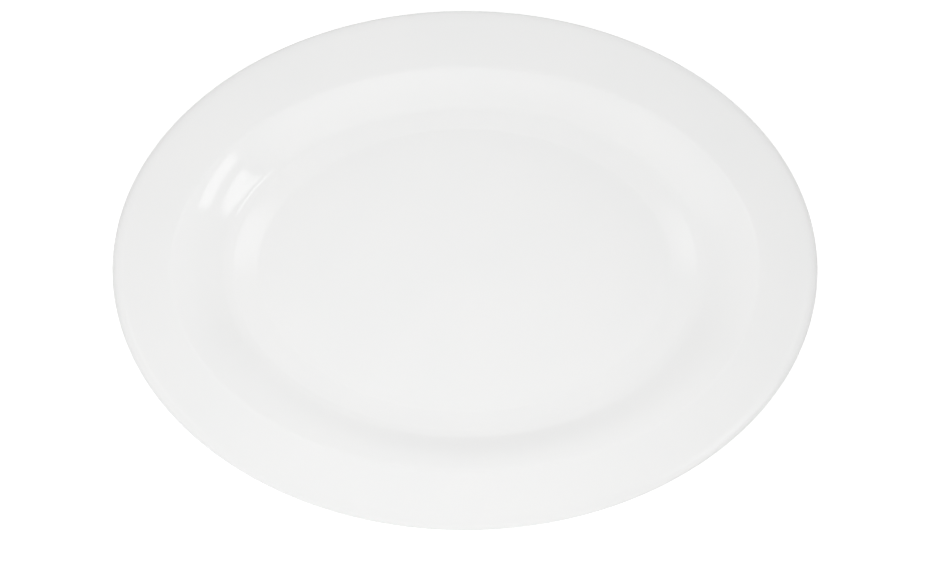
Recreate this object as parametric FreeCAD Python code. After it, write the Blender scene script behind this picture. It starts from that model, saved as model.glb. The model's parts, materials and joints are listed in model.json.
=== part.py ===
import FreeCAD, Part
import math
import os

# Oval china serving platter: one fired white china body under two areas of white glaze.
#
# Frame: millimetres, +Z up, +X along the long axis, +Y along the short axis.
# Origin: centre of the foot ring's standing plane, so the platter rests on z = 0.
#
# Every horizontal section is an ellipse. A profile is a list of stations. Each station has
# a, the half-length along X, and z, the height. The half-width along Y is half_width(a):
# the well and its wall keep one width-to-length ratio, and the rim is a band of
# constant width laid around them.
#
# Pieces, each in its own file:
#   china_body         the fired body: rim, wall, cove, well floor and foot ring, in one
#   main_glaze         the glaze over the face, the lip and the back, down to the foot ring
#   foot_recess_glaze  the glaze inside the foot ring, cut off from the rest by the dry foot

# ---------------------------------------------------------------- driving dimensions
LENGTH = 356.0            # over the rim, along X
RIM_WIDTH = 28.8          # lip to the verge, the same all round
WELL_RATIO = 0.69         # width over length of the well and of every section of its wall
RATIO_BLEND = 3.0         # half the span in which the rim's plan takes over from the well's
VERGE_HALF_LENGTH = LENGTH / 2 - RIM_WIDTH  # the verge: the edge where the wall meets the rim

FLOOR_HALF_LENGTH = 104.0  # where the flat floor ends
FLOOR_HEIGHT = 8.4        # glazed face of the well floor

# Rise over run of the glazed face along X, from the floor's edge to the lip, as (half-length,
# slope). Across the short axis the wall is steeper, by the well's ratio. In order: the shallow
# cove round the floor, the crease at its outer edge, the wall, easing as it climbs, the verge, the
# rim.
FACE = [
    (104.0, 0.000),
    (106.2, 0.098),
    (112.0, 0.120),
    (117.6, 0.145),
    (119.6, 0.240),
    (122.0, 0.290),
    (125.0, 0.405),
    (128.6, 0.430),
    (132.0, 0.425),
    (136.0, 0.395),
    (140.0, 0.360),
    (144.0, 0.330),
    (147.6, 0.280),
    (149.4, 0.070),
    (151.2, 0.040),
    (158.0, 0.030),
    (166.0, 0.035),
    (172.2, 0.050),
]
FACE_STATION = 1.1        # spacing of the wall's sections, finer at the crease and the verge
STRIPS = 8                # faces, end to end, in the skin of the face, lip and back

LIP_START = 172.2         # half-length where the lip begins to round over
LIP_THICKNESS = 4.4

GLAZE = 0.30              # thickness of the fired glaze

# back of the platter, glazed, from the foot ring's fillet out to the lip: (half-length, height)
BACK = [
    (107.6, 4.10),
    (112.0, 4.54),
    (117.0, 5.17),
    (122.0, 6.25),
    (127.0, 7.98),
    (132.0, 10.10),
    (137.0, 12.14),
    (142.0, 13.87),
    (147.0, 15.37),
    (152.0, 16.13),
    (157.0, 16.40),
    (162.0, 16.60),
    (167.0, 16.92),
]

DRY_LINE = 0.9            # height at which the glaze stops on both flanks of the foot ring
FOOT_LAND_OUT = 103.3     # outer and inner half-length of the foot ring's flat standing land
FOOT_LAND_IN = 100.3
FOOT_ROUND = 0.5          # rounding beside the land
FOOT_FLANK = 0.20         # run over rise of both flanks
FOOT_FILLET_OUT = 2.2     # radius of the glazed fillet outside the foot
FOOT_FILLET_IN = 2.0      # radius of the glazed fillet inside it
RECESS_HEIGHT = 3.0       # glazed underside inside the foot ring


# ---------------------------------------------------------------- plan
def half_width(a):
    """Half-width along Y of the ellipse whose half-length along X is a."""
    d = a - VERGE_HALF_LENGTH
    s = RATIO_BLEND
    if d <= -s:
        gain = 0.0
    elif d >= s:
        gain = d
    else:
        gain = (d + s) ** 2 / (4 * s)
    return WELL_RATIO * a + (1 - WELL_RATIO) * gain


# ---------------------------------------------------------------- profiles
def tangents_of(points):
    """End-to-end tangents of a smooth curve through points that never overshoots them."""
    run = [b[0] - a[0] for a, b in zip(points, points[1:])]
    rise = [(b[1] - a[1]) / h for a, b, h in zip(points, points[1:], run)]
    out = [0.0]
    for i in range(1, len(points) - 1):
        if rise[i - 1] * rise[i] <= 0:
            out.append(0.0)
        else:
            w0, w1 = 2 * run[i] + run[i - 1], run[i] + 2 * run[i - 1]
            out.append((w0 + w1) / (w0 / rise[i - 1] + w1 / rise[i]))
    return out + [rise[-1]]


FACE_TANGENTS = tangents_of(FACE)


def face_slope(a):
    """Rise over run of the glazed face at half-length a."""
    if a <= FACE[0][0]:
        return 0.0
    i = 0
    while i < len(FACE) - 2 and a > FACE[i + 1][0]:
        i += 1
    h = FACE[i + 1][0] - FACE[i][0]
    u = min(1.0, (a - FACE[i][0]) / h)
    return (
        (2 * u ** 3 - 3 * u ** 2 + 1) * FACE[i][1]
        + (u ** 3 - 2 * u ** 2 + u) * h * FACE_TANGENTS[i]
        + (3 * u ** 2 - 2 * u ** 3) * FACE[i + 1][1]
        + (u ** 3 - u ** 2) * h * FACE_TANGENTS[i + 1]
    )


def face_stations():
    """(half-length, height) of the glazed face from the floor's edge out to the lip."""
    marks = [FLOOR_HALF_LENGTH]
    while marks[-1] < LIP_START - 0.3:
        a = marks[-1]
        fine = a < 107.0 or 117.5 < a < 126.5 or 145.5 < a < 152.5
        step = FACE_STATION / 2 if fine else FACE_STATION if a < 156 else 2 * FACE_STATION
        marks.append(min(LIP_START, a + step))
    marks[-1] = LIP_START
    out, z, at = [], FLOOR_HEIGHT, FLOOR_HALF_LENGTH
    for a in marks:
        n = max(1, int((a - at) / 0.02))
        for i in range(n):
            z += face_slope(at + (a - at) * (i + 0.5) / n) * (a - at) / n
        at = a
        out.append((a, z))
    return out


def lip_stations(top, slope):
    """Half an oval that turns the face over the lip to the back. Returns its stations and the back's first point."""
    angle = math.atan(slope)
    reach = LENGTH / 2 - top[0]
    half = LIP_THICKNESS / 2
    out = []
    n = 14
    # centre of the oval, straight below the face's last point along its normal
    cx, cz = top[0] + half * math.sin(angle), top[1] - half * math.cos(angle)
    # the oval's long half-axis, set so that the glazed lip ends exactly at LENGTH / 2
    long_axis = (LENGTH / 2 - cx) / math.cos(angle)
    for i in range(1, n + 1):
        t = math.pi / 2 - math.pi * i / n
        p, q = long_axis * math.cos(t), half * math.sin(t)
        out.append((cx + p * math.cos(angle) - q * math.sin(angle), cz + p * math.sin(angle) + q * math.cos(angle)))
    far = max(a for a, z in out)
    scale = reach / (far - top[0])
    return [(top[0] + (a - top[0]) * scale, z) for a, z in out]


def arc(centre, radius, start, end, n):
    """Stations on an arc of the section, angles in degrees."""
    return [
        (
            centre[0] + radius * math.cos(math.radians(start + (end - start) * i / n)),
            centre[1] + radius * math.sin(math.radians(start + (end - start) * i / n)),
        )
        for i in range(n + 1)
    ]


FLANK = math.degrees(math.atan(FOOT_FLANK))  # lean of the foot's flanks from upright


def foot_body():
    """The dry foot: bare china from the inner dry line, round the land, to the outer dry line."""
    r = FOOT_ROUND
    # outer side
    co = (FOOT_LAND_OUT, r)
    outer = arc(co, r, -90, -FLANK, 5)
    p = outer[-1]
    outer_top = (p[0] + (DRY_LINE - p[1]) * FOOT_FLANK, DRY_LINE)
    ci = (FOOT_LAND_IN, r)
    inner = arc(ci, r, -90, -180 + FLANK, 5)
    p = inner[-1]
    inner_top = (p[0] - (DRY_LINE - p[1]) * FOOT_FLANK, DRY_LINE)
    return inner, inner_top, outer, outer_top


def offset(points, distance):
    """Points moved along the left-hand normal of the path they make."""
    out = []
    for i, p in enumerate(points):
        a = points[max(0, i - 1)]
        b = points[min(len(points) - 1, i + 1)]
        # central difference weighted by spacing, exact on arcs sampled evenly
        if 0 < i < len(points) - 1:
            d0 = (p[0] - a[0], p[1] - a[1])
            d1 = (b[0] - p[0], b[1] - p[1])
            l0, l1 = math.hypot(*d0), math.hypot(*d1)
            t = (
                d0[0] / l0 * l1 + d1[0] / l1 * l0,
                d0[1] / l0 * l1 + d1[1] / l1 * l0,
            )
        else:
            t = (b[0] - a[0], b[1] - a[1])
        n = math.hypot(*t)
        out.append((p[0] - t[1] / n * distance, p[1] + t[0] / n * distance))
    return out


# ---------------------------------------------------------------- surfaces
HALF = math.sqrt(0.5)
RING = [(1, 0, 1), (1, 1, HALF), (0, 1, 1), (-1, 1, HALF), (-1, 0, 1), (-1, -1, HALF), (0, -1, 1), (1, -1, HALF), (1, 0, 1)]
RING_KNOTS = [0.0, 0.25, 0.5, 0.75, 1.0]
RING_MULTS = [3, 2, 2, 2, 3]


def skins(points, tangents=None, strips=1):
    """Surfaces of exact ellipses through a row of stations (half-length, height), cut into strips end to end."""
    stations = [FreeCAD.Vector(a, half_width(a), z) for a, z in points]
    curve = Part.BSplineCurve()
    if len(stations) == 2:
        curve.buildFromPoles(stations, False, 1)
    elif tangents:
        curve.interpolate(Points=stations, InitialTangent=tangents[0], FinalTangent=tangents[1])
    else:
        curve.interpolate(Points=stations)
    knots = curve.getKnots()
    cuts = [knots[i * (len(knots) - 1) // strips] for i in range(strips + 1)]
    out = []
    for start, end in zip(cuts, cuts[1:]):
        part = curve.copy()
        part.segment(start, end)
        poles = [[FreeCAD.Vector(p.x * cx, p.y * cy, p.z) for p in part.getPoles()] for cx, cy, w in RING]
        weights = [[w for p in part.getPoles()] for cx, cy, w in RING]
        surface = Part.BSplineSurface()
        surface.buildFromPolesMultsKnots(
            poles, RING_MULTS, part.getMultiplicities(), RING_KNOTS, part.getKnots(), False, False, 2, part.Degree, weights
        )
        out.append(surface.toShape())
    return out


def tangent(slope_a, slope_z, at):
    """A 3-D tangent whose section direction is (slope_a, slope_z) at half-length at."""
    d = 0.01
    rate = (half_width(at + d) - half_width(at - d)) / (2 * d)
    v = FreeCAD.Vector(slope_a, slope_a * rate, slope_z)
    return v.normalize()


def ring_edge(a, z):
    """The ellipse at a station, as an edge."""
    b = half_width(a)
    c = Part.BSplineCurve()
    c.buildFromPolesMultsKnots(
        [FreeCAD.Vector(a * cx, b * cy, z) for cx, cy, w in RING], RING_MULTS, RING_KNOTS, False, 2, [w for cx, cy, w in RING]
    )
    return c.toShape()


def disc(a, z):
    """A flat elliptical face."""
    return Part.Face(Part.Wire([ring_edge(a, z)]))


def land(a_out, a_in, z):
    """A flat elliptical ring face."""
    return Part.makeFace([Part.Wire([ring_edge(a_out, z)]), Part.Wire([ring_edge(a_in, z)])], "Part::FaceMakerBullseye")


def solid(faces):
    """One closed solid from faces that share their edges."""
    shell = Part.makeShell(faces)
    shell.sewShape()
    if shell.ShapeType != "Shell":
        shell = shell.Shells[0]
    made = Part.Solid(shell)
    if made.Volume < 0:
        made.reverse()
    made.fix(1e-6, 1e-6, 1e-6)
    return made


# ---------------------------------------------------------------- glazed outline
face = face_stations()
lip = lip_stations(face[-1], face_slope(LIP_START))

foot_in, foot_in_top, foot_out, foot_out_top = foot_body()

# glazed outer flank of the foot: the body's flank moved out by the glaze
flank = math.radians(FLANK)
glaze_out_foot = (foot_out_top[0] + GLAZE * math.cos(flank), foot_out_top[1] - GLAZE * math.sin(flank))
glaze_in_foot = (foot_in_top[0] - GLAZE * math.cos(flank), foot_in_top[1] - GLAZE * math.sin(flank))


def foot_fillet(start, side, radius, ceiling_slope, ceiling_at, ceiling_z):
    """Flank line from start, then an arc that meets a line of the given slope. side +1 is outside the foot, -1 inside."""
    lean = math.atan(FOOT_FLANK)
    rise_dir = (side * math.sin(lean), math.cos(lean))
    top = math.atan(ceiling_slope)
    top_dir = (side * math.cos(top), math.sin(top))
    # the corner where the flank line meets the ceiling line
    det = rise_dir[0] * top_dir[1] - rise_dir[1] * top_dir[0]
    dx, dz = ceiling_at - start[0], ceiling_z - start[1]
    s = (dx * top_dir[1] - dz * top_dir[0]) / det
    corner = (start[0] + rise_dir[0] * s, start[1] + rise_dir[1] * s)
    turn = math.acos(max(-1.0, min(1.0, rise_dir[0] * top_dir[0] + rise_dir[1] * top_dir[1])))
    cut = radius * math.tan(turn / 2)
    p0 = (corner[0] - rise_dir[0] * cut, corner[1] - rise_dir[1] * cut)
    # centre, on the open side of the corner
    centre = (p0[0] + side * rise_dir[1] * radius, p0[1] - side * rise_dir[0] * radius)
    a0 = math.degrees(math.atan2(p0[1] - centre[1], p0[0] - centre[0]))
    swing = -side * math.degrees(turn)
    return [start] + arc(centre, radius, a0, a0 + swing, 8)


back_slope = (BACK[1][1] - BACK[0][1]) / (BACK[1][0] - BACK[0][0])
outer_fillet = foot_fillet(glaze_out_foot, 1, FOOT_FILLET_OUT, back_slope, BACK[0][0], BACK[0][1])
inner_fillet = foot_fillet(glaze_in_foot, -1, FOOT_FILLET_IN, 0.0, 90.0, RECESS_HEIGHT)

# glazed back: foot fillet, the back's stations, then the lip taken from below
back = [p for p in BACK if p[0] > outer_fillet[-1][0] + 1.0]


def main_outline():
    """Glazed stations from the outer dry line, along the back, round the lip and in over the face to the floor's edge."""
    lower = outer_fillet + back
    upper = list(reversed(lip)) + list(reversed(face))
    return lower, upper


lower, upper = main_outline()


def straight_then(points):
    """Adds points on the first straight run, so that a spline through them keeps it straight."""
    a, b = points[0], points[1]
    return [a, ((2 * a[0] + b[0]) / 3, (2 * a[1] + b[1]) / 3), ((a[0] + 2 * b[0]) / 3, (a[1] + 2 * b[1]) / 3)] + points[1:]


outline = straight_then(lower + upper)
body_outline = offset(outline, GLAZE)
recess = straight_then(inner_fillet)
body_recess = offset(recess, -GLAZE)

# exact ends: the body's stations at the dry lines and at the flat floor
body_outline[0] = foot_out_top
body_outline[-1] = (outline[-1][0], FLOOR_HEIGHT - GLAZE)
body_recess[0] = foot_in_top
body_recess[-1] = (recess[-1][0], RECESS_HEIGHT + GLAZE)

up_out = tangent(math.sin(flank), math.cos(flank), outline[0][0])
inwards = tangent(-1.0, 0.0, outline[-1][0])
up_in = tangent(-math.sin(flank), math.cos(flank), recess[0][0])

main_glaze_skins = skins(outline, (up_out, inwards), STRIPS)
body_main_skins = skins(body_outline, (up_out, inwards), STRIPS)
recess_glaze_skins = skins(recess, (up_in, inwards))
body_recess_skins = skins(body_recess, (up_in, inwards))

# ---------------------------------------------------------------- solids
china_body = solid(
    body_main_skins
    + [disc(body_outline[-1][0], body_outline[-1][1])]
    + skins([foot_out[-1], foot_out_top])
    + skins(foot_out, (tangent(1, 0, FOOT_LAND_OUT), tangent(math.sin(flank), math.cos(flank), foot_out[-1][0])))
    + [land(FOOT_LAND_OUT, FOOT_LAND_IN, 0.0)]
    + skins(foot_in, (tangent(-1, 0, FOOT_LAND_IN), tangent(-math.sin(flank), math.cos(flank), foot_in[-1][0])))
    + skins([foot_in[-1], foot_in_top])
    + body_recess_skins
    + [disc(body_recess[-1][0], body_recess[-1][1])]
)

main_glaze = solid(
    main_glaze_skins
    + [disc(outline[-1][0], outline[-1][1])]
    + body_main_skins
    + [disc(body_outline[-1][0], body_outline[-1][1])]
    + skins([outline[0], body_outline[0]])
)

foot_recess_glaze = solid(
    recess_glaze_skins
    + [disc(recess[-1][0], recess[-1][1])]
    + body_recess_skins
    + [disc(body_recess[-1][0], body_recess[-1][1])]
    + skins([recess[0], body_recess[0]])
)

os.makedirs("parts", exist_ok=True)
for name, shape in (
    ("china_body", china_body),
    ("main_glaze", main_glaze),
    ("foot_recess_glaze", foot_recess_glaze),
):
    shape.exportStep("parts/" + name + ".step")
    box = shape.BoundBox
    print(
        name, "valid", shape.isValid(), "closed", all(s.isClosed() for s in shape.Shells), "volume cm3", round(shape.Volume / 1000, 2),
        "box", [round(v, 2) for v in (box.XMin, box.YMin, box.ZMin, box.XMax, box.YMax, box.ZMax)],
    )
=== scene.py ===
import json
import math

import bpy
import numpy as np
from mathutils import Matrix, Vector

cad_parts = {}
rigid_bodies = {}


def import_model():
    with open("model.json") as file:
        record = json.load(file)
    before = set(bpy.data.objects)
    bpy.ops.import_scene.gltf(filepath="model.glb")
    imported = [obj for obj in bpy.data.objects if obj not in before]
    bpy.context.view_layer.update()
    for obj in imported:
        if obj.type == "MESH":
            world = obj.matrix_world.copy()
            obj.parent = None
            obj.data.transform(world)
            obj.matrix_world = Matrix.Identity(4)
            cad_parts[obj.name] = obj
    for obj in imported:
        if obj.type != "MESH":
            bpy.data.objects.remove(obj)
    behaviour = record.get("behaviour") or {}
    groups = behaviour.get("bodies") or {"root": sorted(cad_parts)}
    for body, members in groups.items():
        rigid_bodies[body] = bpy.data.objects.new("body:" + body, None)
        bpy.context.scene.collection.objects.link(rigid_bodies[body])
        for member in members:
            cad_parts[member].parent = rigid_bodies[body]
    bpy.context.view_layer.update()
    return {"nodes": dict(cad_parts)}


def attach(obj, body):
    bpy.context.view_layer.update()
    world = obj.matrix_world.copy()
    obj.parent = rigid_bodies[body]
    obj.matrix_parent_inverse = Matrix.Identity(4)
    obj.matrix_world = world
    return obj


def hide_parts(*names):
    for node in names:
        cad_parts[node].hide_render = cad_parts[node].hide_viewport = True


# Oval china serving platter: white gloss glaze over a bare china foot, on a white studio floor.
# Lengths in the profile are millimetres, as in the part's own source; meshes are metres.

for old in list(bpy.data.objects):
    bpy.data.objects.remove(old)
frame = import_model()

# ---------------------------------------------------------------- the platter's section
LENGTH, RIM_WIDTH, WELL_RATIO, RATIO_BLEND = 356.0, 28.8, 0.69, 3.0
VERGE_HALF_LENGTH = LENGTH / 2 - RIM_WIDTH
FLOOR_HEIGHT, LIP_START, LIP_THICKNESS, GLAZE = 8.4, 172.2, 4.4, 0.30
FACE = [  # (half-length, rise over run of the glazed face)
    (104.0, 0.000), (106.2, 0.098), (112.0, 0.120), (117.6, 0.145), (119.6, 0.240), (122.0, 0.290), (125.0, 0.405),
    (128.6, 0.430), (132.0, 0.425), (136.0, 0.395), (140.0, 0.360), (144.0, 0.330), (147.6, 0.280), (149.4, 0.070),
    (151.2, 0.040), (158.0, 0.030), (166.0, 0.035), (172.2, 0.050),
]
BACK = [  # (half-length, height) of the glazed back
    (107.6, 4.10), (112.0, 4.54), (117.0, 5.17), (122.0, 6.25), (127.0, 7.98), (132.0, 10.10), (137.0, 12.14), (142.0, 13.87),
    (147.0, 15.37), (152.0, 16.13), (157.0, 16.40), (162.0, 16.60), (167.0, 16.92),
]
DRY_LINE, FOOT_LAND_OUT, FOOT_LAND_IN, FOOT_ROUND, FOOT_FLANK = 0.9, 103.3, 100.3, 0.5, 0.20
FOOT_FILLET_OUT, FOOT_FILLET_IN, RECESS_HEIGHT = 2.2, 2.0, 3.0


def half_width(a):
    a = np.asarray(a, float)
    d, s = a - VERGE_HALF_LENGTH, RATIO_BLEND
    gain = np.where(d <= -s, 0.0, np.where(d >= s, d, (d + s) ** 2 / (4 * s)))
    return WELL_RATIO * a + (1 - WELL_RATIO) * gain


def face_slope(a):
    """Rise over run of the glazed face, a smooth curve through FACE that never overshoots it."""
    x, y = np.array(FACE).T
    h = np.diff(x)
    rise = np.diff(y) / h
    t = np.zeros(len(x))
    w0, w1 = 2 * h[1:] + h[:-1], h[1:] + 2 * h[:-1]
    same = rise[:-1] * rise[1:] > 0
    safe = np.where(same[:, None], np.stack([rise[:-1], rise[1:]], 1), 1.0)
    t[1:-1] = np.where(same, (w0 + w1) / (w0 / safe[:, 0] + w1 / safe[:, 1]), 0.0)
    t[-1] = rise[-1]
    a = np.clip(np.asarray(a, float), x[0], x[-1])
    i = np.clip(np.searchsorted(x, a) - 1, 0, len(x) - 2)
    u = (a - x[i]) / h[i]
    return (
        (2 * u**3 - 3 * u**2 + 1) * y[i] + (u**3 - 2 * u**2 + u) * h[i] * t[i]
        + (3 * u**2 - 2 * u**3) * y[i + 1] + (u**3 - u**2) * h[i] * t[i + 1]
    )


def face_points():
    """The glazed face from the floor's edge to the lip, finely sampled."""
    n = 6000
    a = np.linspace(FACE[0][0], LIP_START, n + 1)
    mid = (a[1:] + a[:-1]) / 2
    z = FLOOR_HEIGHT + np.concatenate([[0], np.cumsum(face_slope(mid) * np.diff(a))])
    return a, z


def arc(centre, radius, start, end, n):
    t = np.radians(np.linspace(start, end, n + 1))
    return [(centre[0] + radius * math.cos(x), centre[1] + radius * math.sin(x)) for x in t]


def spline(points, n, first=None, last=None):
    """n points, evenly spaced, on the smooth curve through a row of points. first and last are end directions."""
    p = np.array(points, float)
    h = np.linalg.norm(np.diff(p, axis=0), axis=1)
    t = np.concatenate([[0], np.cumsum(h)])
    m = len(p)
    system, right = np.zeros((m, m)), np.zeros((m, 2))
    for i in range(1, m - 1):
        system[i, i - 1], system[i, i], system[i, i + 1] = h[i], 2 * (h[i - 1] + h[i]), h[i - 1]
        right[i] = 3 * (h[i] * (p[i] - p[i - 1]) / h[i - 1] + h[i - 1] * (p[i + 1] - p[i]) / h[i])
    for row, other, direction, chord in ((0, 1, first, (p[1] - p[0]) / h[0]), (m - 1, m - 2, last, (p[-1] - p[-2]) / h[-1])):
        system[row, row] = 1.0
        if direction is None:
            system[row, other] = 1.0
            right[row] = 2 * chord
        else:
            right[row] = np.array(direction) / np.linalg.norm(direction)
    slope = np.linalg.solve(system, right)

    def at(x):
        i = np.clip(np.searchsorted(t, x) - 1, 0, m - 2)
        u = ((x - t[i]) / h[i])[:, None]
        hh = h[i][:, None]
        return (
            (2 * u**3 - 3 * u**2 + 1) * p[i] + (u**3 - 2 * u**2 + u) * hh * slope[i]
            + (3 * u**2 - 2 * u**3) * p[i + 1] + (u**3 - u**2) * hh * slope[i + 1]
        )

    fine = at(np.linspace(0, t[-1], 6000))
    run = np.concatenate([[0], np.cumsum(np.linalg.norm(np.diff(fine, axis=0), axis=1))])
    want = np.linspace(0, run[-1], n)
    return np.stack([np.interp(want, run, fine[:, 0]), np.interp(want, run, fine[:, 1])], 1)


def outlines():
    """Glazed outlines (half-length, height): the main one from the outer dry line round to the floor's edge, and the foot recess's."""
    angle, half = math.atan(float(face_slope(LIP_START))), LIP_THICKNESS / 2
    fa, fz = face_points()
    top = (fa[-1], fz[-1])
    cx, cz = top[0] + half * math.sin(angle), top[1] - half * math.cos(angle)
    reach = (LENGTH / 2 - cx) / math.cos(angle)
    lip = []
    for i in range(1, 15):
        t = math.pi / 2 - math.pi * i / 14
        p, q = reach * math.cos(t), half * math.sin(t)
        lip.append((cx + p * math.cos(angle) - q * math.sin(angle), cz + p * math.sin(angle) + q * math.cos(angle)))
    scale = (LENGTH / 2 - top[0]) / (max(a for a, z in lip) - top[0])
    lip = [(top[0] + (a - top[0]) * scale, z) for a, z in lip]

    lean = math.atan(FOOT_FLANK)
    r, lean_deg = FOOT_ROUND, math.degrees(math.atan(FOOT_FLANK))

    def fillet(side, land, radius, slope, at_a, at_z):
        end = (land + side * r * math.cos(lean), r - r * math.sin(lean))
        dry = (end[0] + side * (DRY_LINE - end[1]) * FOOT_FLANK, DRY_LINE)
        start = (dry[0] + side * GLAZE * math.cos(lean), dry[1] - GLAZE * math.sin(lean))
        up, out = (side * math.sin(lean), math.cos(lean)), (side * math.cos(math.atan(slope)), math.sin(math.atan(slope)))
        det = up[0] * out[1] - up[1] * out[0]
        s = ((at_a - start[0]) * out[1] - (at_z - start[1]) * out[0]) / det
        corner = (start[0] + up[0] * s, start[1] + up[1] * s)
        turn = math.acos(up[0] * out[0] + up[1] * out[1])
        cut = radius * math.tan(turn / 2)
        p0 = (corner[0] - up[0] * cut, corner[1] - up[1] * cut)
        centre = (p0[0] + side * up[1] * radius, p0[1] - side * up[0] * radius)
        a0 = math.degrees(math.atan2(p0[1] - centre[1], p0[0] - centre[0]))
        return [start] + arc(centre, radius, a0, a0 - side * math.degrees(turn), 8)

    slope = (BACK[1][1] - BACK[0][1]) / (BACK[1][0] - BACK[0][0])
    outer = fillet(1, FOOT_LAND_OUT, FOOT_FILLET_OUT, slope, BACK[0][0], BACK[0][1])
    inner = fillet(-1, FOOT_LAND_IN, FOOT_FILLET_IN, 0.0, 90.0, RECESS_HEIGHT)

    def straight_then(points):
        a, b = points[0], points[1]
        return [a, ((2 * a[0] + b[0]) / 3, (2 * a[1] + b[1]) / 3), ((a[0] + 2 * b[0]) / 3, (a[1] + 2 * b[1]) / 3)] + points[1:]

    back = [p for p in BACK if p[0] > outer[-1][0] + 1.0]
    lower = straight_then(outer + back) + lip[::-1] + [top]
    under = spline(lower, 120, (FOOT_FLANK, 1.0), (-math.cos(angle), -math.sin(angle)))
    # rows along the face, closer where it bends
    bend = 0.35 + 40 * np.abs(np.gradient(face_slope(fa), fa))
    bend = np.convolve(np.pad(bend, 60, mode="edge"), np.ones(121) / 121, "valid")
    count = np.concatenate([[0], np.cumsum((bend[1:] + bend[:-1]) / 2)])
    pick = np.interp(np.linspace(count[-1], 0, 150), count, fa)
    face = np.stack([pick, np.interp(pick, fa, fz)], 1)
    main = np.concatenate([under[:-1], face])
    recess = spline(straight_then(inner), 28, (-FOOT_FLANK, 1.0), (-1.0, 0.0))
    return main, recess


def inset(points, distance):
    """Each point moved along the left-hand normal of the path."""
    run = np.concatenate([[0], np.cumsum(np.linalg.norm(np.diff(points, axis=0), axis=1))])
    d = np.stack([np.gradient(points[:, 0], run), np.gradient(points[:, 1], run)], 1)
    d /= np.linalg.norm(d, axis=1)[:, None]
    return points + distance * np.stack([-d[:, 1], d[:, 0]], 1)


# ---------------------------------------------------------------- meshes
AROUND = 288  # columns round the platter, a multiple of 8
CAP = AROUND // 4
CAP_RINGS = 18
COLUMN = 2 * np.pi * np.arange(AROUND) / AROUND


def wander(x, y):
    """A fired platter's slight unevenness, in millimetres: long shallow waves, under 0.08 mm, none above the drawn height."""
    rng = np.random.default_rng(41)
    out = np.zeros_like(x)
    for _ in range(9):
        length, turn, phase = rng.uniform(70, 190), rng.uniform(0, 2 * np.pi), rng.uniform(0, 2 * np.pi)
        out += np.sin((x * math.cos(turn) + y * math.sin(turn)) * 2 * np.pi / length + phase) * length / 190
    return out * 0.0075 - 0.04


def cap_points(a, z):
    """Points that fill the ellipse (a, z): rings from the edge inwards, then a square grid with soft corners."""
    b = float(half_width(a))
    s = np.linspace(-1, 1, CAP + 1)
    u, v = np.meshgrid(s, s, indexing="ij")
    gx = 0.6 * (0.425 * u + 0.5 * u * np.sqrt(1 - v * v / 2))
    gy = 0.6 * (0.425 * v + 0.5 * v * np.sqrt(1 - u * u / 2))
    n, h = CAP, CAP // 2
    loop = (
        [(n, j) for j in range(h, n)] + [(i, n) for i in range(n, 0, -1)] + [(0, j) for j in range(n, 0, -1)]
        + [(i, 0) for i in range(n)] + [(n, j) for j in range(h)]
    )
    bx, by = np.array([gx[p] for p in loop]), np.array([gy[p] for p in loop])
    rings = []
    for k in range(1, CAP_RINGS):
        w = k / CAP_RINGS
        rings.append(np.stack([(1 - w) * np.cos(COLUMN) + w * bx, (1 - w) * np.sin(COLUMN) + w * by], 1))
    flat = np.concatenate([np.concatenate(rings), np.stack([gx.ravel(), gy.ravel()], 1)])
    points = np.stack([flat[:, 0] * a, flat[:, 1] * b, np.full(len(flat), z)], 1)
    return points, loop


def sheet_side(points, flip, verts, faces):
    """Rows of ellipses along an outline that ends at the flat centre, and the cap that closes the centre."""
    start = sum(len(v) for v in verts)
    a, z = points[:, 0], points[:, 1]
    b = half_width(a)
    rows = np.stack([
        a[:, None] * np.cos(COLUMN), b[:, None] * np.sin(COLUMN), np.repeat(z[:, None], AROUND, 1),
    ], 2).reshape(-1, 3)
    centre, loop = cap_points(a[-1], z[-1])
    verts += [rows, centre]
    n, count = AROUND, len(points) + CAP_RINGS - 1
    j = np.arange(n)
    k = (j + 1) % n
    made = []
    for i in range(count - 1):
        lo = start + i * n
        made.append(np.stack([lo + j, lo + k, lo + n + k, lo + n + j], 1))
    grid = start + count * n
    at = np.array([grid + p * (CAP + 1) + q for p, q in loop])
    lo = start + (count - 1) * n
    made.append(np.stack([lo + j, lo + k, at[k], at[j]], 1))
    p, q = np.meshgrid(np.arange(CAP), np.arange(CAP), indexing="ij")
    g = (grid + p * (CAP + 1) + q).ravel()
    made.append(np.stack([g, g + CAP + 1, g + CAP + 2, g + 1], 1))
    made = np.concatenate(made)
    faces.append(made[:, ::-1] if flip else made)
    return start


def closed_sheet(name, outer, inner):
    """A closed thin coat. outer is its seen side and inner lies on the china; both run in to the flat centre."""
    verts, faces = [], []
    o = sheet_side(outer, False, verts, faces)
    i = sheet_side(inner, True, verts, faces)
    j = np.arange(AROUND)
    k = (j + 1) % AROUND
    faces.append(np.stack([o + k, o + j, i + j, i + k], 1))
    co, quads = np.concatenate(verts), np.concatenate(faces)
    co[:, 2] += wander(co[:, 0], co[:, 1]) * np.clip((co[:, 2] - 1.2) / 3.0, 0, 1)
    mesh = bpy.data.meshes.new(name)
    mesh.from_pydata((co / 1000).tolist(), [], quads.tolist())
    mesh.validate()
    mesh.polygons.foreach_set("use_smooth", np.ones(len(mesh.polygons), bool))
    mesh.update()
    obj = bpy.data.objects.new(name, mesh)
    bpy.context.scene.collection.objects.link(obj)
    return obj


main_outline, recess_outline = outlines()
glaze_coat = closed_sheet("glaze_coat", main_outline, inset(main_outline, GLAZE)[np.r_[0:len(main_outline):3, len(main_outline) - 1]])
foot_recess_coat = closed_sheet("foot_recess_coat", recess_outline, inset(recess_outline, -GLAZE))
for piece, node in ((glaze_coat, "main_glaze"), (foot_recess_coat, "foot_recess_glaze")):
    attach(piece, "root")
    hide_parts(node)
china_body = frame["nodes"]["china_body"]


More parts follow.
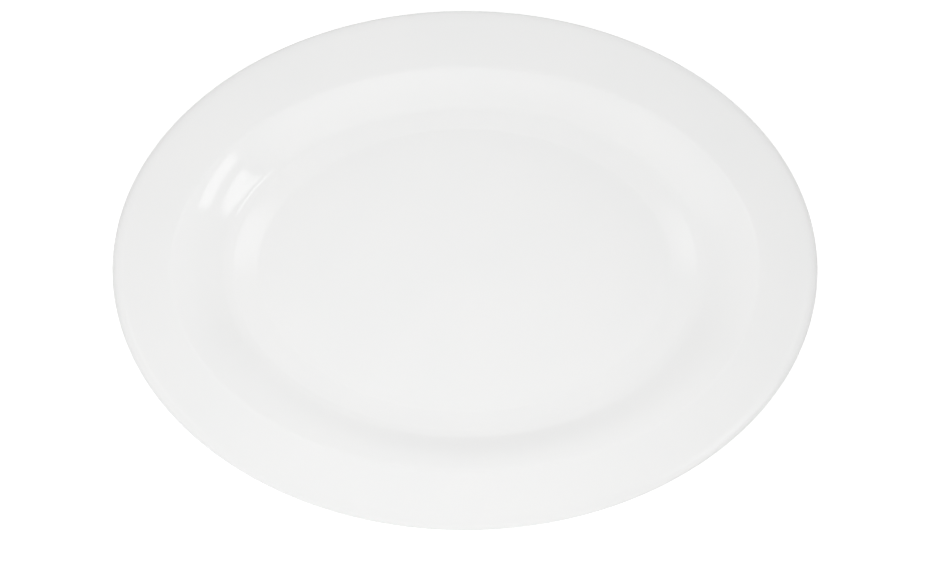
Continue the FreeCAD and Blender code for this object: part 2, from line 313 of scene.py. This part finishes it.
# ---------------------------------------------------------------- materials
def new_material(name):
    m = bpy.data.materials.new(name)
    m.use_nodes = True
    m.node_tree.nodes.clear()
    return m, m.node_tree.nodes, m.node_tree.links


def node(nodes, kind, **values):
    n = nodes.new(kind)
    for key, value in values.items():
        if hasattr(n, key):
            setattr(n, key, value)
        else:
            n.inputs[key].default_value = value
    return n


def noise(nodes, links, coords, scale, detail, rough=0.5):
    n = nodes.new("ShaderNodeTexNoise")
    n.inputs["Scale"].default_value = scale
    n.inputs["Detail"].default_value = detail
    n.inputs["Roughness"].default_value = rough
    links.new(coords, n.inputs["Vector"])
    return n.outputs["Fac"]


def ramp(nodes, links, fac, stops):
    n = nodes.new("ShaderNodeValToRGB")
    e = n.color_ramp.elements
    while len(e) < len(stops):
        e.new(0.5)
    for item, (pos, colour) in zip(e, stops):
        item.position = pos
        item.color = (*colour, 1.0) if len(colour) == 3 else colour
    links.new(fac, n.inputs["Fac"])
    return n.outputs["Color"]


def spread(nodes, links, fac, low, high, out_low, out_high):
    n = nodes.new("ShaderNodeMapRange")
    n.inputs["From Min"].default_value = low
    n.inputs["From Max"].default_value = high
    n.inputs["To Min"].default_value = out_low
    n.inputs["To Max"].default_value = out_high
    links.new(fac, n.inputs["Value"])
    return n.outputs["Result"]


def bump(nodes, links, height, distance, strength=1.0, under=None):
    n = nodes.new("ShaderNodeBump")
    n.inputs["Distance"].default_value = distance
    n.inputs["Strength"].default_value = strength
    links.new(height, n.inputs["Height"])
    if under is not None:
        links.new(under, n.inputs["Normal"])
    return n.outputs["Normal"]


def glaze_material():
    m, nodes, links = new_material("white_gloss_glaze")
    coords = nodes.new("ShaderNodeTexCoord").outputs["Object"]
    out = nodes.new("ShaderNodeOutputMaterial")
    p = nodes.new("ShaderNodeBsdfPrincipled")
    links.new(p.outputs["BSDF"], out.inputs["Surface"])
    # faint warmer and cooler patches in the glaze, a few centimetres across
    tone = noise(nodes, links, coords, 22.0, 3.0)
    links.new(ramp(nodes, links, tone, [(0.30, (0.862, 0.864, 0.860)), (0.70, (0.872, 0.871, 0.866))]), p.inputs["Base Color"])
    # gloss, a little softer in some places than in others
    haze = noise(nodes, links, coords, 60.0, 4.0, 0.6)
    links.new(spread(nodes, links, haze, 0.3, 0.7, 0.055, 0.085), p.inputs["Roughness"])
    p.inputs["IOR"].default_value = 1.5
    # the ripple of fired glaze: broad and shallow, with finer pits over it
    ripple = bump(nodes, links, noise(nodes, links, coords, 170.0, 2.0), 0.000008)
    pits = bump(nodes, links, noise(nodes, links, coords, 900.0, 2.0), 0.000001, under=ripple)
    links.new(pits, p.inputs["Normal"])
    return m


def bisque_material():
    m, nodes, links = new_material("bare_fired_china")
    coords = nodes.new("ShaderNodeTexCoord").outputs["Object"]
    out = nodes.new("ShaderNodeOutputMaterial")
    p = nodes.new("ShaderNodeBsdfPrincipled")
    links.new(p.outputs["BSDF"], out.inputs["Surface"])
    grain = noise(nodes, links, coords, 2600.0, 4.0, 0.65)
    rub = noise(nodes, links, coords, 90.0, 5.0, 0.7)
    base = ramp(nodes, links, grain, [(0.25, (0.66, 0.645, 0.61)), (0.6, (0.78, 0.77, 0.745))])
    worn = ramp(nodes, links, rub, [(0.45, (1, 1, 1)), (0.72, (0.80, 0.79, 0.77))])
    mix = nodes.new("ShaderNodeMix")
    mix.data_type = "RGBA"
    mix.blend_type = "MULTIPLY"
    mix.inputs[0].default_value = 1.0
    links.new(base, mix.inputs[6])
    links.new(worn, mix.inputs[7])
    links.new(mix.outputs[2], p.inputs["Base Color"])
    links.new(spread(nodes, links, rub, 0.3, 0.7, 0.82, 0.62), p.inputs["Roughness"])
    links.new(bump(nodes, links, grain, 0.00002), p.inputs["Normal"])
    return m


white_glaze = glaze_material()
bisque = bisque_material()
for piece, material in ((glaze_coat, white_glaze), (foot_recess_coat, white_glaze), (china_body, bisque)):
    piece.data.materials.clear()
    piece.data.materials.append(material)

# ---------------------------------------------------------------- studio
floor_mesh = bpy.data.meshes.new("studio_floor")
s = 6.0
floor_mesh.from_pydata([(-s, -s, -0.00002), (s, -s, -0.00002), (s, s, -0.00002), (-s, s, -0.00002)], [], [(0, 1, 2, 3)])
studio_floor = bpy.data.objects.new("studio_floor", floor_mesh)
bpy.context.scene.collection.objects.link(studio_floor)
m, nodes, links = new_material("white_floor")
p = nodes.new("ShaderNodeBsdfPrincipled")
p.inputs["Base Color"].default_value = (0.80, 0.80, 0.80, 1)
p.inputs["Roughness"].default_value = 0.9
p.inputs["Specular IOR Level"].default_value = 0.1
p.inputs["Emission Color"].default_value = (1, 1, 1, 1)
p.inputs["Emission Strength"].default_value = 0.43
links.new(p.outputs["BSDF"], nodes.new("ShaderNodeOutputMaterial").inputs["Surface"])
floor_mesh.materials.append(m)



def toward(azimuth, elevation):
    """Unit vector. azimuth is counter-clockwise from +X, seen from above."""
    a, e = math.radians(azimuth), math.radians(elevation)
    return Vector((math.cos(a) * math.cos(e), math.sin(a) * math.cos(e), math.sin(e)))


# the room: an even pale dome, lighter down by the horizon, with soft, broad bright areas on it (azimuth,
# elevation, width in degrees, strength)
ROOM, HORIZON = 0.187, 0.60
BRIGHT_AREAS = [
    (0, 52, 30, 0.275), (105, 38, 30, 0.485), (180, 52, 30, 0.38), (225, 38, 30, 0.664),
    (255, 38, 30, 0.085), (285, 38, 30, 0.837), (30, 52, 30, 0.062), (60, 22, 30, 0.666),
    (75, 38, 30, 0.223), (90, 52, 30, 0.308), (315, 38, 30, 0.189), (0, 90, 40, 0.115),
    (13, 81, 5, 1.1), (168, 80, 5, 1.0),
]
world = bpy.data.worlds.new("white_studio")
world.use_nodes = True
nodes, links = world.node_tree.nodes, world.node_tree.links
background = nodes["Background"]
background.inputs["Color"].default_value = (1, 1, 1, 1)
look = nodes.new("ShaderNodeTexCoord").outputs["Generated"]
split = nodes.new("ShaderNodeSeparateXYZ")
links.new(look, split.inputs[0])
low_glow = nodes.new("ShaderNodeMapRange")
low_glow.interpolation_type = "SMOOTHSTEP"
low_glow.inputs["From Min"].default_value = 0.22
low_glow.inputs["From Max"].default_value = 0.0
low_glow.inputs["To Min"].default_value = ROOM
low_glow.inputs["To Max"].default_value = ROOM + HORIZON
links.new(split.outputs["Z"], low_glow.inputs["Value"])
total = low_glow.outputs["Result"]
for azimuth, elevation, width, strength in BRIGHT_AREAS:
    dot = nodes.new("ShaderNodeVectorMath")
    dot.operation = "DOT_PRODUCT"
    dot.inputs[1].default_value = toward(azimuth, elevation)
    links.new(look, dot.inputs[0])
    glow = nodes.new("ShaderNodeMapRange")
    glow.interpolation_type = "SMOOTHSTEP"
    glow.inputs["From Min"].default_value = math.cos(math.radians(width))
    glow.inputs["From Max"].default_value = 1.0
    glow.inputs["To Max"].default_value = strength
    links.new(dot.outputs["Value"], glow.inputs["Value"])
    add = nodes.new("ShaderNodeMath")
    add.operation = "ADD"
    links.new(total, add.inputs[0])
    links.new(glow.outputs["Result"], add.inputs[1])
    total = add.outputs[0]
# seen straight on, beyond the floor, the room is as pale as the far end of the floor
seen = nodes.new("ShaderNodeMix")
seen.inputs[3].default_value = 0.90
links.new(nodes.new("ShaderNodeLightPath").outputs["Is Camera Ray"], seen.inputs[0])
links.new(total, seen.inputs[2])
links.new(seen.outputs[0], background.inputs["Strength"])
bpy.context.scene.world = world
bpy.context.scene.view_settings.view_transform = "Standard"
bpy.context.scene.view_settings.look = "None"


def softbox(name, place, size, power, seen=True):
    """A soft light at place that looks at the platter: a disk, or a rectangle if size has two numbers.

    One that isn't seen only fills, and leaves no mark in the gloss.
    """
    light = bpy.data.lights.new(name, "AREA")
    light.shape = "RECTANGLE" if isinstance(size, tuple) else "DISK"
    if isinstance(size, tuple):
        light.size, light.size_y = size
    else:
        light.size = size
    light.energy = power
    obj = bpy.data.objects.new(name, light)
    obj.location = place
    obj.rotation_mode = "QUATERNION"
    obj.rotation_quaternion = place.normalized().to_track_quat("Z", "Y")
    obj.visible_camera = False
    obj.visible_glossy = seen
    bpy.context.scene.collection.objects.link(obj)
    return obj


softbox("fill_top", Vector((0.0, 0.0, 0.6)), 0.3, 0.93, seen=False)
softbox("fill_front", toward(270, 60) * 0.65, 0.36, 0.441, seen=False)
softbox("fill_left_front", toward(225, 60) * 0.65, 0.36, 0.512, seen=False)
# two small strips, one above the other, that lie as a pair of streaks on the wall
softbox("strip_high", Vector((0.331, -0.234, 0.863)), (0.187, 0.096), 0.11)
softbox("strip_low", Vector((0.461, -0.285, 0.767)), (0.23, 0.06), 0.10)

# ---------------------------------------------------------------- camera
camera_data = bpy.data.cameras.new("camera")
camera_data.lens = 85.0
camera_data.sensor_width = 36.0
camera_data.clip_start = 0.05
camera_data.clip_end = 50.0
camera = bpy.data.objects.new("camera", camera_data)
aim = Vector((0.0, -0.0089, 0.022))
elevation = math.radians(84.85)
back = Vector((0.0, -math.cos(elevation), math.sin(elevation)))
camera.location = aim + back * 1.1057
camera.rotation_mode = "QUATERNION"
camera.rotation_quaternion = (-back).to_track_quat("-Z", "Y")
bpy.context.scene.collection.objects.link(camera)
bpy.context.scene.camera = camera

bpy.context.view_layer.update()
